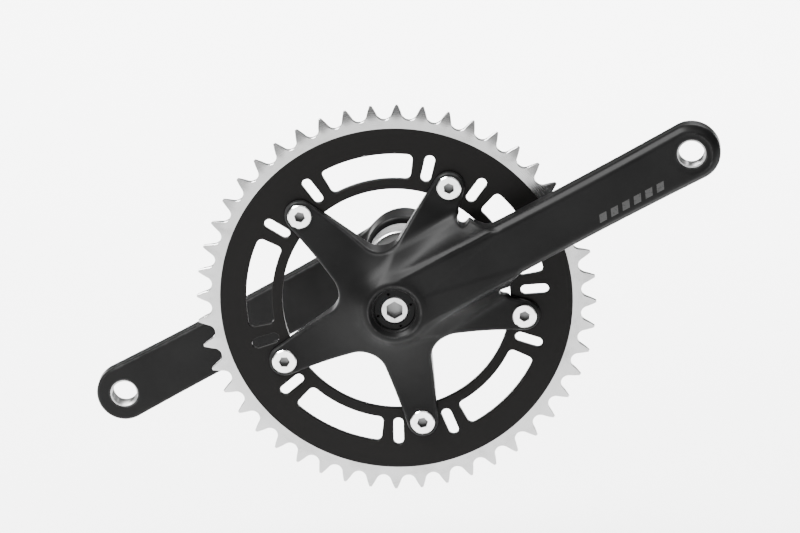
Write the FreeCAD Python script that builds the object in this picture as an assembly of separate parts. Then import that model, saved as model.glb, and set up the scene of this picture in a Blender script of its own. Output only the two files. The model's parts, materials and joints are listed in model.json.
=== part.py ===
import FreeCAD, Part
import math

# Bicycle crankset for a track or single-speed bicycle, in millimetres.
# The axle of the crank runs along Y.  X points forward, Y to the rider's left, Z up.
# The origin is on the axle, in the middle of the frame's bottom-bracket shell.
# Each side of the part is described by how far outboard of the middle a point lies,
# so a point s outboard is at Y = -s on the drive side and Y = +s on the left side.

DRIVE = -1
LEFT = 1

# ---- crank arms ----
crank_length = 170.0         # axle to pedal axis
drive_arm_angle = 29.0       # drive-side arm above the forward direction, degrees
arm_waist = 13.6             # half width of the arm where it is narrowest
arm_side_radius = 2650.0     # hollow of the long edges of the arm
arm_root_radius = 15.5       # rounded end of the arm at the axle
arm_front_root = 66.4        # outboard face of the arm at the axle
arm_front_eye = 72.5         # outboard face of the arm at the pedal eye
arm_back_root = 51.5         # inboard face of the arm beside the hub
arm_back_eye = 60.0          # inboard face of the arm at the pedal eye
arm_bevel = 2.6              # bevel round the outboard outline
arm_back_bevel = 1.4         # bevel round the inboard outline

# ---- hub of each arm ----
hub_inner = 38.5             # inboard face of the hub
hub_outer = 66.0             # outboard face of the hub
hub_radius = 20.0
recess_floor = 57.1          # floor of the extractor recess
recess_minor = 10.46         # M22 x 1 extractor thread
recess_major = 11.0
recess_pitch = 1.0

# ---- square taper of the spindle ----
spindle_end = 55.0
spindle_core = 8.5
taper_end_half = 6.35        # half the flats' distance at the spindle's end
taper_slope = math.tan(math.radians(2.0))
taper_start = 35.5           # inboard end of the flats

# ---- pedal eyes, 9/16 in x 20 tpi ----
pedal_major = 7.144
pedal_minor = 6.45
pedal_pitch = 1.27
spot_radius = 9.9
spot_depth = 0.35

# ---- spider ----
bolt_count = 5
bolt_circle = 65.0           # radius of the chainring bolts' circle
tab_radius = 7.8
tab_back = 44.6              # inboard face of the tabs, against the chainring
tab_front = 48.0             # outboard face of the tabs
spider_back = 42.0
spider_step = 57.3           # the chainring is centred on this radius
crotch_radius = 7.5          # rounding between neighbouring spider arms
crotch_distance = 34.0
web_gap_radius = 2.6         # small gap between the arm's web and a spider arm
web_gap_distance = 55.0      # small notch beside each web, inside the ring's bore
web_gap_angle = 22.8         # either side of the arm, degrees

# ---- chainring, 1/2 in x 1/8 in chain ----
tooth_count = 48
chain_pitch = 12.7
pitch_radius = chain_pitch / (2.0 * math.sin(math.pi / tooth_count))
roller_seat = 3.90
seat_angle = 64.0            # half of the seat's arc, degrees
tooth_height = 3.4           # tip above the pitch circle
ring_inboard = 41.4
ring_outboard = 44.6
ring_bore = 57.5
ring_plain_radius = 89.0     # outside this radius the ring is machined bare
ring_machined_step = 0.12
window_inner = 62.7
window_outer = 75.7
window_half_angle = 18.3
window_corner = 2.6
slot_inner = 62.7
slot_outer = 77.0
slot_width = 5.2
slot_angle = 11.0

# ---- chainring bolts and nuts ----
sleeve_radius = 5.0
sleeve_hole_radius = 5.05
chainring_bolt_head = 6.1
chainring_thread = 4.0
chainring_bolt_hex = 5.0
nut_flange_radius = 6.4

# ---- crank bolts, washers and extractor rings ----
crank_bolt_head = 7.0
crank_bolt_flange = 9.3
crank_bolt_flange_top = 60.2
crank_bolt_face = 64.0
crank_bolt_hex = 8.0
crank_bolt_shank = 4.0
crank_bolt_tip = 37.0
washer_radius = 9.3
washer_thickness = 1.2
extractor_ring_back = 60.4   # the ring pushes the arm off when the bolt is undone
extractor_ring_front = 63.8
extractor_ring_bore = 7.15

# ---- bottom bracket, 68 mm shell, 1.37 in x 24 tpi ----
shell_face = 34.0
cup_major = 17.4
cup_minor = 16.8
cup_pitch = 25.4 / 24.0
cup_flange_radius = 20.4
cup_flange_face = 37.0
cup_inner_end = 18.0
cup_spline_count = 20
cup_spline_inner = 14.4
cup_spline_outer = 15.4
sleeve_outer = 16.0
sleeve_inner = 15.0
sleeve_half_length = 28.5

# ---- bearings, 17 x 30 x 7 ----
bearing_centre = 24.0
bearing_width = 7.0
bearing_bore = 8.5
bearing_pitch_radius = 11.75
ball_radius = 1.9845
ball_count = 12
raceway_radius = 2.05
raceway_clearance = 0.02     # ball to raceway at the bottom of each groove
inner_land = 10.6
outer_land = 12.9
seal_inner = 10.65
seal_outer = 13.5
seal_thickness = 0.6
cage_inner = 11.0
cage_outer = 12.5
cage_half_width = 2.6
pocket_radius = 2.02


def at(side, u, s, v):
    """Point u along the arm, s outboard of the middle, v across the arm."""
    return FreeCAD.Vector(u, side * s, v)


def drum(side, radius, s0, s1, u=0.0, v=0.0):
    """Round bar along the axle's direction from s0 out to s1."""
    return Part.makeCylinder(radius, s1 - s0, at(side, u, s0, v), FreeCAD.Vector(0, side, 0))


def turned(side, profile, u=0.0):
    """Solid turned from (radius, s) corners about the line through u parallel to the axle."""
    corners = [at(side, u + radius, s, 0.0) for radius, s in profile]
    face = Part.Face(Part.makePolygon(corners + corners[:1]))
    return face.revolve(at(side, u, 0.0, 0.0), FreeCAD.Vector(0, 1, 0), 360.0)


def plate(side, points, s0, s1):
    """Flat plate from the (u, v) corners of its outline."""
    corners = [at(side, u, s0, v) for u, v in points]
    face = Part.Face(Part.makePolygon(corners + corners[:1]))
    return face.extrude(FreeCAD.Vector(0, side * (s1 - s0), 0))


def raise_edges(side, edges, s0, s1):
    """Plate whose outline is made of edges lying at s0."""
    face = Part.Face(Part.Wire(Part.__sortEdges__(edges)))
    return face.extrude(FreeCAD.Vector(0, side * (s1 - s0), 0))


def hex_bar(side, flats, s0, s1):
    """Hexagonal bar on the axle, measured across its flats."""
    corner = flats / math.sqrt(3.0)
    points = []
    for index in range(6):
        angle = math.radians(60.0 * index + 30.0)
        points.append((corner * math.cos(angle), corner * math.sin(angle)))
    return plate(side, points, s0, s1)


def spun(shape, degrees):
    """Copy turned about the axle, positive from forward towards up."""
    copy = shape.copy()
    copy.rotate(FreeCAD.Vector(0, 0, 0), FreeCAD.Vector(0, -1, 0), degrees)
    return copy


def around(shape, count, first=0.0):
    """Copies of a shape spread evenly round the axle."""
    return [spun(shape, first + 360.0 * index / count) for index in range(count)]


def groove_profile(wall, deep, pitch, s0, s1):
    """Corners of a row of V grooves with flat lands, as (radius, s)."""
    corners = []
    half = 0.34 * pitch
    steps = int((s1 - s0) / pitch)
    for index in range(steps):
        middle = s0 + (index + 0.5) * pitch
        corners.append((wall, middle - half))
        corners.append((deep, middle))
        corners.append((wall, middle + half))
    return corners


def grooved_bore(side, wall, deep, pitch, s0, s1, u=0.0):
    """Tool that bores a threaded hole from s0 to s1."""
    grooves = groove_profile(wall, deep, pitch, s0 + 0.4, s1 - 0.4)
    return turned(side, [(0.0, s0), (wall, s0)] + grooves + [(wall, s1), (0.0, s1)], u)


def flat_sided(polygons):
    """Solid bounded by flat polygons."""
    faces = [Part.Face(Part.makePolygon(corners + corners[:1])) for corners in polygons]
    return Part.Solid(Part.makeShell(faces))


def square_taper(side, s0, s1, corner_radius):
    """Square taper between two planes, its corners rounded off."""
    ends = []
    for s in (s0, s1):
        half = taper_end_half + (spindle_end - s) * taper_slope
        points = [(half, half), (-half, half), (-half, -half), (half, -half)]
        ends.append([at(side, u, s, v) for u, v in points])
    low, high = ends
    walls = [[low[i], low[i - 1], high[i - 1], high[i]] for i in range(4)]
    return flat_sided(ends + walls).common(drum(side, corner_radius, s0, s1))


def arm_outline(side, s):
    """Edges of the arm's outline: round root, hollow sides, round eye."""
    reach = math.sqrt((arm_side_radius + arm_root_radius) ** 2
                      - (arm_side_radius + arm_waist) ** 2)
    hollow = arm_side_radius + arm_waist
    eye_radius = math.hypot(crank_length - reach, hollow) - arm_side_radius
    root_angle = math.atan2(hollow, reach)
    eye_angle = math.atan2(hollow, reach - crank_length)
    root = (arm_root_radius * math.cos(root_angle), arm_root_radius * math.sin(root_angle))
    eye = (crank_length + eye_radius * math.cos(eye_angle), eye_radius * math.sin(eye_angle))
    top_root = at(side, root[0], s, root[1])
    low_root = at(side, root[0], s, -root[1])
    top_eye = at(side, eye[0], s, eye[1])
    low_eye = at(side, eye[0], s, -eye[1])
    return [
        Part.Arc(top_root, at(side, reach, s, arm_waist), top_eye).toShape(),
        Part.Arc(top_eye, at(side, crank_length + eye_radius, s, 0.0), low_eye).toShape(),
        Part.Arc(low_eye, at(side, reach, s, -arm_waist), low_root).toShape(),
        Part.Arc(low_root, at(side, -arm_root_radius, s, 0.0), top_root).toShape(),
    ]


def arm_blade(side):
    """The long arm, tapering in thickness towards the eye, bevelled on both faces."""
    outline = raise_edges(side, arm_outline(side, 40.0), 40.0, 80.0)
    slope = (arm_front_eye - arm_front_root) / crank_length
    back_slope = (arm_back_eye - arm_back_root) / crank_length
    far = crank_length + 30.0
    side_view = [(-30.0, arm_front_root - 30.0 * slope),
                 (far, arm_front_root + far * slope),
                 (far, arm_back_root + far * back_slope),
                 (-30.0, arm_back_root - 30.0 * back_slope)]
    corners = [at(side, u, s, -30.0) for u, s in side_view]
    slab = Part.Face(Part.makePolygon(corners + corners[:1])).extrude(FreeCAD.Vector(0, 0, 60.0))
    blade = outline.common(slab)
    front, back = [], []
    for edge in blade.Edges:
        if edge.Curve.TypeId == "Part::GeomLine":
            continue
        middle = edge.CenterOfMass
        split = 0.5 * (arm_front_root + arm_back_root + middle.x * (slope + back_slope))
        (front if abs(middle.y) > split else back).append(edge)
    blade = blade.Solids[0].makeFillet(arm_bevel, front)
    back = [edge for edge in blade.Edges
            if any(edge.CenterOfMass.isEqual(old.CenterOfMass, 0.01) for old in back)]
    return blade.makeFillet(arm_back_bevel, back)


def hub(side):
    """Round hub that carries the square taper."""
    return turned(side, [
        (0.0, hub_inner),
        (hub_radius - 3.0, hub_inner),
        (hub_radius - 1.5, hub_inner + 1.2),
        (hub_radius - 0.5, hub_inner + 6.0),
        (hub_radius - 0.5, 57.0),
        (hub_radius - 3.2, 63.5),
        (hub_radius - 5.6, hub_outer),
        (0.0, hub_outer),
    ])


def socket_and_threads(side):
    """Everything bored out of an arm: taper, extractor recess, pedal eye."""
    eye_s = arm_front_eye
    tools = [
        square_taper(side, hub_inner - 1.0, recess_floor + 0.2, spindle_core + 0.1),
        grooved_bore(side, recess_minor, recess_major, recess_pitch, recess_floor, 70.0),
        grooved_bore(side, pedal_minor, pedal_major, pedal_pitch, 55.0, 78.0, crank_length),
        drum(side, spot_radius, eye_s - spot_depth, eye_s + 5.0, crank_length),
    ]
    return tools


def spider_arm_outline():
    """Outline of one spider arm lying on +u, as tangent points and centres."""
    half_pitch = math.pi / bolt_count
    crotch_u = crotch_distance * math.cos(half_pitch)
    crotch_v = crotch_distance * math.sin(half_pitch)
    across_u = bolt_circle - crotch_u
    gap = math.hypot(across_u, crotch_v)
    lean = math.atan2(crotch_v, across_u)
    turn = math.acos((tab_radius + crotch_radius) / gap)
    normal = math.pi - lean - turn
    nu, nv = math.cos(normal), math.sin(normal)
    tab_point = (bolt_circle + tab_radius * nu, tab_radius * nv)
    crotch_point = (crotch_u - crotch_radius * nu, crotch_v - crotch_radius * nv)
    return tab_point, crotch_point


def spider_plan(side, s0, s1):
    """The five spider arms and their rounded crotches, seen along the axle."""
    (tab_u, tab_v), (crotch_u, crotch_v) = spider_arm_outline()
    arm = plate(side, [(0.0, 0.0), (crotch_u, crotch_v), (tab_u, tab_v), (bolt_circle, 0.0),
                       (tab_u, -tab_v), (crotch_u, -crotch_v)], s0, s1)
    arm = arm.fuse(drum(side, tab_radius, s0, s1, bolt_circle))
    arms = around(arm, bolt_count, 180.0 / bolt_count)
    ring_points = []
    for index in range(bolt_count):
        angle = 2.0 * math.pi * index / bolt_count + math.pi / bolt_count
        for v in (-crotch_v, crotch_v):
            ring_points.append((crotch_u * math.cos(angle) - v * math.sin(angle),
                                crotch_u * math.sin(angle) + v * math.cos(angle)))
    core = plate(side, ring_points, s0, s1)
    bites = around(drum(side, crotch_radius, s0 - 1.0, s1 + 1.0, crotch_distance), bolt_count)
    return core.cut(bites).fuse(arms)


def spider_section(side):
    """Turned body that gives the spider its back step and its falling front."""
    front = [(15.5, 65.4), (20.0, 61.4), (27.0, 57.2), (36.0, 53.3), (46.0, 50.2), (56.0, tab_front)]
    outer = bolt_circle + tab_radius + 1.0
    return turned(side, [(0.0, spider_back), (spider_step, spider_back), (spider_step, tab_back),
                         (outer, tab_back), (outer, tab_front)] + front[::-1] + [(0.0, 65.4)])


def web(side, hand):
    """Sloping web from one edge of the drive arm down to the next spider arm."""
    crest_far, crest_near = (61.0, 12.5, 66.0), (2.0, 13.0, 64.0)
    rim, foot, heel = (53.5, 21.5, 51.5), (47.0, 23.8, 50.4), (14.0, 23.0, 56.5)
    loop = [crest_far, rim, foot, heel, crest_near, (0.0, 0.0, 64.0)]
    low = [at(side, u, tab_back + 0.6, hand * v) for u, v, s in loop]
    high = [at(side, u, s, hand * v) for u, v, s in loop]
    walls = [[low[i], low[i - 1], high[i - 1], high[i]] for i in range(len(loop))]
    roofs = [[high[0], high[i], high[i + 1]] for i in range(1, len(loop) - 1)]
    return flat_sided([low] + walls + roofs)


def crank_arm(side):
    """Hub and long arm, with the taper, the recess and the pedal eye bored out."""
    return hub(side).fuse(arm_blade(side)).cut(socket_and_threads(side)).removeSplitter()


def spider():
    """Five-arm spider with its two webs, fitted closely round the drive-side arm and hub."""
    side = DRIVE
    star = spider_plan(side, 40.0, 66.0).common(spider_section(side))
    notch = plate(side, [(web_gap_distance, -web_gap_radius), (62.0, -web_gap_radius),
                         (62.0, web_gap_radius), (web_gap_distance, web_gap_radius)], 40.0, 70.0)
    gap = drum(side, web_gap_radius, 40.0, 70.0, web_gap_distance).fuse(notch)
    webs = [web(side, hand).cut(spun(gap, hand * web_gap_angle)) for hand in (1, -1)]
    under_arm = turned(side, [(spider_step, 40.0), (90.0, 40.0), (90.0, 50.0),
                              (spider_step + 1.0, 50.0), (spider_step, 46.0)])
    body = star.multiFuse([piece.cut(under_arm) for piece in webs])
    body = body.cut(hub(side).fuse(arm_blade(side)))
    holes = around(drum(side, sleeve_hole_radius, 40.0, 60.0, bolt_circle), bolt_count,
                   180.0 / bolt_count)
    return spun(body.cut(holes).removeSplitter(), drive_arm_angle)


def tooth_space_point(along, up, angle):
    """Point measured from a roller's centre, along and away from the pitch circle."""
    radius = pitch_radius + up
    u = radius * math.cos(angle) - along * math.sin(angle)
    v = radius * math.sin(angle) + along * math.cos(angle)
    return at(DRIVE, u, ring_inboard, v)


def toothed_disc():
    """Solid disc with the full row of teeth."""
    seat = math.radians(seat_angle)
    seat_along, seat_up = roller_seat * math.sin(seat), -roller_seat * math.cos(seat)
    rise = tooth_height - seat_up
    tip_along = seat_along + rise * math.cos(seat) / math.sin(seat)
    mid_along = 0.5 * (seat_along + tip_along) - 0.12
    mid_up = 0.5 * (seat_up + tooth_height)
    edges = []
    step = 2.0 * math.pi / tooth_count
    for index in range(tooth_count):
        angle = (index + 0.5) * step
        low_seat = tooth_space_point(-seat_along, seat_up, angle)
        high_seat = tooth_space_point(seat_along, seat_up, angle)
        bottom = tooth_space_point(0.0, -roller_seat, angle)
        low_tip = tooth_space_point(-tip_along, tooth_height, angle)
        high_tip = tooth_space_point(tip_along, tooth_height, angle)
        next_tip = tooth_space_point(-tip_along, tooth_height, angle + step)
        edges.append(Part.Arc(low_tip, tooth_space_point(-mid_along, mid_up, angle),
                              low_seat).toShape())
        edges.append(Part.Arc(low_seat, bottom, high_seat).toShape())
        edges.append(Part.Arc(high_seat, tooth_space_point(mid_along, mid_up, angle),
                              high_tip).toShape())
        edges.append(Part.LineSegment(high_tip, next_tip).toShape())
    face = Part.Face(Part.Wire(edges))
    return face.extrude(FreeCAD.Vector(0, DRIVE * (ring_outboard - ring_inboard), 0))


def ring_window():
    """Long curved window, centred on +u, with rounded corners."""
    s0, s1 = ring_inboard - 1.0, ring_outboard + 1.0
    reach = 120.0
    half = math.radians(window_half_angle)
    wedge = plate(DRIVE, [(0.0, 0.0), (reach, -reach * math.tan(half)),
                          (reach, reach * math.tan(half))], s0, s1)
    band = drum(DRIVE, window_outer, s0, s1).cut(drum(DRIVE, window_inner, s0, s1))
    window = band.common(wedge)
    corners = [edge for edge in window.Edges if edge.BoundBox.YLength > 1.0]
    return window.makeFillet(window_corner, corners)


def ring_slot():
    """Short radial slot, lying on +u."""
    s0, s1 = ring_inboard - 1.0, ring_outboard + 1.0
    half = 0.5 * slot_width
    inner, outer = slot_inner + half, slot_outer - half
    bar = plate(DRIVE, [(inner, -half), (outer, -half), (outer, half), (inner, half)], s0, s1)
    return bar.multiFuse([drum(DRIVE, half, s0, s1, inner), drum(DRIVE, half, s0, s1, outer)])


def chainring():
    """Chainring with windows and slots, teeth thinned towards their tips."""
    ring = toothed_disc()
    pitch_angle = 360.0 / bolt_count
    cuts = [drum(DRIVE, ring_bore, ring_inboard - 1.0, ring_outboard + 1.0)]
    cuts += around(ring_window(), bolt_count)
    for offset in (-slot_angle, slot_angle):
        cuts += around(ring_slot(), bolt_count, 0.5 * pitch_angle + offset)
    hole = drum(DRIVE, sleeve_hole_radius, ring_inboard - 1.0, ring_outboard + 1.0, bolt_circle)
    cuts += around(hole, bolt_count, 0.5 * pitch_angle)
    tip = pitch_radius + tooth_height
    for face, step in ((ring_outboard, -1.0), (ring_inboard, 1.0)):
        cuts.append(turned(DRIVE, [
            (ring_plain_radius, face - step),
            (ring_plain_radius, face + step * ring_machined_step),
            (tip - 5.6, face + step * ring_machined_step),
            (tip + 1.0, face + step * 1.0),
            (tip + 1.0, face - step),
        ]))
    return spun(ring.cut(cuts), drive_arm_angle)


def chainring_bolts():
    """Five socket-head bolts on the front of the tabs."""
    head = tab_front + 1.3
    bolt = turned(DRIVE, [(0.0, ring_inboard + 0.6), (chainring_thread, ring_inboard + 0.6),
                          (chainring_thread, tab_front), (chainring_bolt_head, tab_front),
                          (chainring_bolt_head, head - 0.5), (chainring_bolt_head - 0.5, head),
                          (0.0, head)])
    bolt = bolt.cut(hex_bar(DRIVE, chainring_bolt_hex, tab_front - 2.6, head + 1.0))
    bolt.translate(FreeCAD.Vector(bolt_circle, 0, 0))
    return Part.makeCompound(around(bolt, bolt_count, 180.0 / bolt_count + drive_arm_angle))


def chainring_nuts():
    """Five sleeve nuts through the ring and the tabs, flanged behind the ring."""
    flange = ring_inboard - 1.4
    nut = turned(DRIVE, [(chainring_thread, flange), (nut_flange_radius - 0.5, flange),
                         (nut_flange_radius, flange + 0.5), (nut_flange_radius, ring_inboard),
                         (sleeve_radius, ring_inboard), (sleeve_radius, tab_front - 0.5),
                         (chainring_thread, tab_front - 0.5)])
    slot = Part.makeBox(16.0, 0.9, 1.6, FreeCAD.Vector(-8.0, DRIVE * flange - 0.9, -0.8))
    nut = nut.cut(slot)
    nut.translate(FreeCAD.Vector(bolt_circle, 0, 0))
    return Part.makeCompound(around(nut, bolt_count, 180.0 / bolt_count + drive_arm_angle))


def spindle():
    """Square-taper spindle, tapped at both ends."""
    body = turned(LEFT, [(0.0, -spindle_end), (spindle_core - 1.0, -spindle_end),
                         (spindle_core, -spindle_end + 1.0), (spindle_core, spindle_end - 1.0),
                         (spindle_core - 1.0, spindle_end), (0.0, spindle_end)])
    start_half = taper_end_half + (spindle_end - taper_start) * taper_slope
    end_half = taper_end_half - taper_slope
    for side in (DRIVE, LEFT):
        corners = [at(side, u, s, -12.0) for u, s in (
            (start_half, taper_start), (end_half, spindle_end + 1.0), (12.0, spindle_end + 1.0),
            (12.0, taper_start - 2.0), (spindle_core + 0.5, taper_start - 2.0))]
        flat = Part.Face(Part.makePolygon(corners + corners[:1]))
        body = body.cut(around(flat.extrude(FreeCAD.Vector(0, 0, 24.0)), 4))
        body = body.cut(drum(side, crank_bolt_shank, crank_bolt_tip - 2.0, spindle_end + 1.0))
    return spun(body, drive_arm_angle)


def crank_bolt(side):
    """Socket-head bolt that draws the arm onto the taper."""
    seat = recess_floor + washer_thickness
    bolt = turned(side, [(0.0, crank_bolt_tip), (crank_bolt_shank, crank_bolt_tip),
                         (crank_bolt_shank, seat), (crank_bolt_flange, seat),
                         (crank_bolt_flange, crank_bolt_flange_top),
                         (crank_bolt_head, crank_bolt_flange_top),
                         (crank_bolt_head, crank_bolt_face - 0.6),
                         (crank_bolt_head - 0.6, crank_bolt_face), (0.0, crank_bolt_face)])
    return bolt.cut(hex_bar(side, crank_bolt_hex, crank_bolt_face - 4.2, crank_bolt_face + 1.0))


def crank_bolt_washer(side):
    """Washer on the floor of the extractor recess."""
    seat = recess_floor + washer_thickness
    return turned(side, [(crank_bolt_shank + 0.3, recess_floor), (washer_radius, recess_floor),
                         (washer_radius, seat - 0.4), (washer_radius - 0.4, seat),
                         (crank_bolt_shank + 0.3, seat)])


def extractor_ring(side):
    """Screwed ring round the bolt head, with four round notches for a pin tool."""
    outer = recess_minor - 0.01
    ring = turned(side, [(extractor_ring_bore, extractor_ring_back), (outer, extractor_ring_back),
                         (outer, extractor_ring_front - 0.4), (outer - 0.4, extractor_ring_front),
                         (extractor_ring_bore, extractor_ring_front)])
    notch = drum(side, 0.75, extractor_ring_front - 1.6, extractor_ring_front + 1.0, 8.8)
    return ring.cut(around(notch, 4, 20.0))


def cup(side):
    """Threaded cup; the drive-side one has a flange against the shell."""
    bearing_end = bearing_centre + 0.5 * bearing_width
    outer_face = cup_flange_face if side == DRIVE else shell_face
    grooves = groove_profile(cup_major, cup_minor, cup_pitch, cup_inner_end + 0.8, shell_face - 0.8)
    profile = [(sleeve_outer, cup_inner_end), (cup_major - 0.5, cup_inner_end),
               (cup_major, cup_inner_end + 0.5)] + grooves
    if side == DRIVE:
        profile += [(cup_major, shell_face), (cup_flange_radius, shell_face),
                    (cup_flange_radius, outer_face - 0.8), (cup_flange_radius - 0.8, outer_face)]
    else:
        profile += [(cup_major, outer_face - 0.5), (cup_major - 0.5, outer_face)]
    profile += [(cup_spline_inner, outer_face), (cup_spline_inner, bearing_end + 1.2),
                (seal_outer, bearing_end + 0.4), (seal_outer, bearing_end),
                (sleeve_inner, bearing_end), (sleeve_inner, sleeve_half_length),
                (sleeve_outer, sleeve_half_length)]
    body = turned(side, profile)
    spline = drum(side, 0.75, bearing_end + 2.6, outer_face + 1.0, cup_spline_outer - 0.75)
    tooth_gap = plate(side, [(cup_spline_inner - 1.0, -0.75), (cup_spline_outer - 0.75, -0.75),
                             (cup_spline_outer - 0.75, 0.75), (cup_spline_inner - 1.0, 0.75)],
                      bearing_end + 2.6, outer_face + 1.0)
    return body.cut(around(spline.fuse(tooth_gap), cup_spline_count))


def cartridge_sleeve():
    """Tube that holds both bearings."""
    return turned(LEFT, [(sleeve_inner - 1.2, -20.0), (sleeve_inner, -20.5),
                         (sleeve_inner, -sleeve_half_length), (sleeve_outer, -sleeve_half_length),
                         (sleeve_outer, sleeve_half_length), (sleeve_inner, sleeve_half_length),
                         (sleeve_inner, 20.5), (sleeve_inner - 1.2, 20.0)])


def inner_spacer():
    """Tube on the spindle that keeps the inner races apart."""
    half = bearing_centre - 0.5 * bearing_width
    return turned(LEFT, [(bearing_bore, -half), (bearing_bore + 1.3, -half),
                         (bearing_bore + 1.3, half), (bearing_bore, half)])


def raceway(side):
    """Ring-shaped tool that cuts the ball grooves of both races."""
    offset = raceway_radius - ball_radius - raceway_clearance
    tools = []
    for radius in (bearing_pitch_radius - offset, bearing_pitch_radius + offset):
        tools.append(Part.makeTorus(radius, raceway_radius, at(side, 0.0, bearing_centre, 0.0),
                                    FreeCAD.Vector(0, 1, 0)))
    return tools


def outer_race(side):
    """Outer race with a seat for a seal on each face."""
    s0 = bearing_centre - 0.5 * bearing_width
    s1 = bearing_centre + 0.5 * bearing_width
    race = turned(side, [(outer_land, s0 + seal_thickness), (seal_outer, s0 + seal_thickness),
                         (seal_outer, s0), (sleeve_inner, s0), (sleeve_inner, s1),
                         (seal_outer, s1), (seal_outer, s1 - seal_thickness),
                         (outer_land, s1 - seal_thickness)])
    return race.cut(raceway(side)[1])


def inner_race(side):
    """Inner race, pressed on the spindle."""
    s0 = bearing_centre - 0.5 * bearing_width
    s1 = bearing_centre + 0.5 * bearing_width
    race = turned(side, [(bearing_bore, s0), (inner_land, s0), (inner_land, s1),
                         (bearing_bore, s1)])
    return race.cut(raceway(side)[0])


def seal(side, outboard):
    """Thin lip seal on one face of a bearing."""
    s0 = bearing_centre - 0.5 * bearing_width
    if outboard:
        s0 = bearing_centre + 0.5 * bearing_width - seal_thickness
    return turned(side, [(seal_inner, s0), (seal_outer, s0), (seal_outer, s0 + seal_thickness),
                         (seal_inner, s0 + seal_thickness)])


def balls(side):
    """The balls of one bearing."""
    ball = Part.makeSphere(ball_radius, at(side, bearing_pitch_radius, bearing_centre, 0.0))
    return around(ball, ball_count)


def cage(side):
    """Cage with a round pocket bored through it for each ball."""
    s0, s1 = bearing_centre - cage_half_width, bearing_centre + cage_half_width
    ring = turned(side, [(cage_inner, s0), (cage_outer, s0), (cage_outer, s1), (cage_inner, s1)])
    bore = Part.makeCylinder(pocket_radius, 20.0, at(side, 0.0, bearing_centre, 0.0),
                             FreeCAD.Vector(1, 0, 0))
    return ring.cut(around(bore, ball_count))


parts = {
    "crank_arm_drive": spun(crank_arm(DRIVE), drive_arm_angle),
    "crank_arm_left": spun(crank_arm(LEFT), drive_arm_angle + 180.0),
    "spider": spider(),
    "chainring": chainring(),
    "chainring_bolts": chainring_bolts(),
    "chainring_nuts": chainring_nuts(),
    "spindle": spindle(),
    "inner_spacer": inner_spacer(),
    "bb_cartridge_sleeve": cartridge_sleeve(),
}
for side_name, side in (("drive", DRIVE), ("left", LEFT)):
    parts["crank_bolt_" + side_name] = crank_bolt(side)
    parts["crank_bolt_washer_" + side_name] = crank_bolt_washer(side)
    parts["extractor_ring_" + side_name] = extractor_ring(side)
    parts["bb_cup_" + side_name] = cup(side)
    parts["outer_race_" + side_name] = outer_race(side)
    parts["inner_race_" + side_name] = inner_race(side)
    parts["seal_outboard_" + side_name] = seal(side, True)
    parts["seal_inboard_" + side_name] = seal(side, False)
    parts["bearing_cage_" + side_name] = cage(side)
    parts["bearing_balls_" + side_name] = Part.makeCompound(balls(side))

for name, shape in parts.items():
    shape.exportStep("parts/" + name + ".step")
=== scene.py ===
import json
import math

import bpy
import numpy as np
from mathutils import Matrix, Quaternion, Vector
from mathutils.geometry import delaunay_2d_cdt


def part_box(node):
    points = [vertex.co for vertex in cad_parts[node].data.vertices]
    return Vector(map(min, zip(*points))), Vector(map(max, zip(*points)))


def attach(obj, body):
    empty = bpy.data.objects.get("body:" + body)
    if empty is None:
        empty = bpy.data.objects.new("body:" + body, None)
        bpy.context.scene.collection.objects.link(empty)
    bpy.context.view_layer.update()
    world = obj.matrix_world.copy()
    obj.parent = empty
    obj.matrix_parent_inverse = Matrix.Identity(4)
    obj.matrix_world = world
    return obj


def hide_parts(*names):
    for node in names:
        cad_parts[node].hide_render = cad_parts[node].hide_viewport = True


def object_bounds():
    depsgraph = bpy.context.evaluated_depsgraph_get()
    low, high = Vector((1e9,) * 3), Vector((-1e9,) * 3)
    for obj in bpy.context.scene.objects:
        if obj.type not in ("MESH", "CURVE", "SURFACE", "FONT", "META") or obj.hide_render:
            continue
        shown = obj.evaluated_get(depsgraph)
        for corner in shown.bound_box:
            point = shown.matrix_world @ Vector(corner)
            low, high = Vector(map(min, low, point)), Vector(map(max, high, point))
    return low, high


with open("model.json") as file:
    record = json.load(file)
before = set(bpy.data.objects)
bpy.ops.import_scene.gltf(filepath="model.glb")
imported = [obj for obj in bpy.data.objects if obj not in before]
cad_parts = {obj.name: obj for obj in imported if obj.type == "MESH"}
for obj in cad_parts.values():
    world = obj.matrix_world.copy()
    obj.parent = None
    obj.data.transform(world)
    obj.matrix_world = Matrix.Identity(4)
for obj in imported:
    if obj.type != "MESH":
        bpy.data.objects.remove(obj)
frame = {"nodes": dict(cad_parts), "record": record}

cad_low, cad_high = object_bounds()

# The crank arms, the chainring and the threads are rebuilt here as finished metalwork.
# The other pieces keep their CAD meshes and get materials.  Shapes are worked out in
# millimetres in an arm's own directions: u along the arm, v across it, s outboard.

MM = 0.001
DRIVE, LEFT = -1, 1

record = frame["record"]
mounts = {mount["name"]: mount for mount in record["mounts"]}


def span(node, axis):
    """Lowest and highest coordinate of a CAD node along one axis, in millimetres."""
    low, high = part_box(node)
    return low[axis] / MM, high[axis] / MM


# ---- places read from the frame ----
eye = mounts["pedal_thread_drive"]["pos_m"]
arm_length = math.hypot(eye[0], eye[2]) / MM
arm_turn = math.atan2(eye[2], eye[0])
eye_minor = mounts["pedal_thread_drive"]["dims"]["r_mm"]
eye_major = eye_minor + 0.69
hub_inner = span("crank_arm_left", 1)[0]
arm_outermost = span("crank_arm_left", 1)[1]
ring_outboard, ring_inboard = [-y for y in span("chainring", 1)]
ring_middle = 0.5 * (ring_outboard + ring_inboard)
recess_minor = span("extractor_ring_drive", 0)[1] + 0.01
recess_floor = -span("crank_bolt_washer_drive", 1)[1]
bolt_face = -span("chainring_bolts", 1)[0]
crank_bolt_face = -span("crank_bolt_drive", 1)[0]

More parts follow.
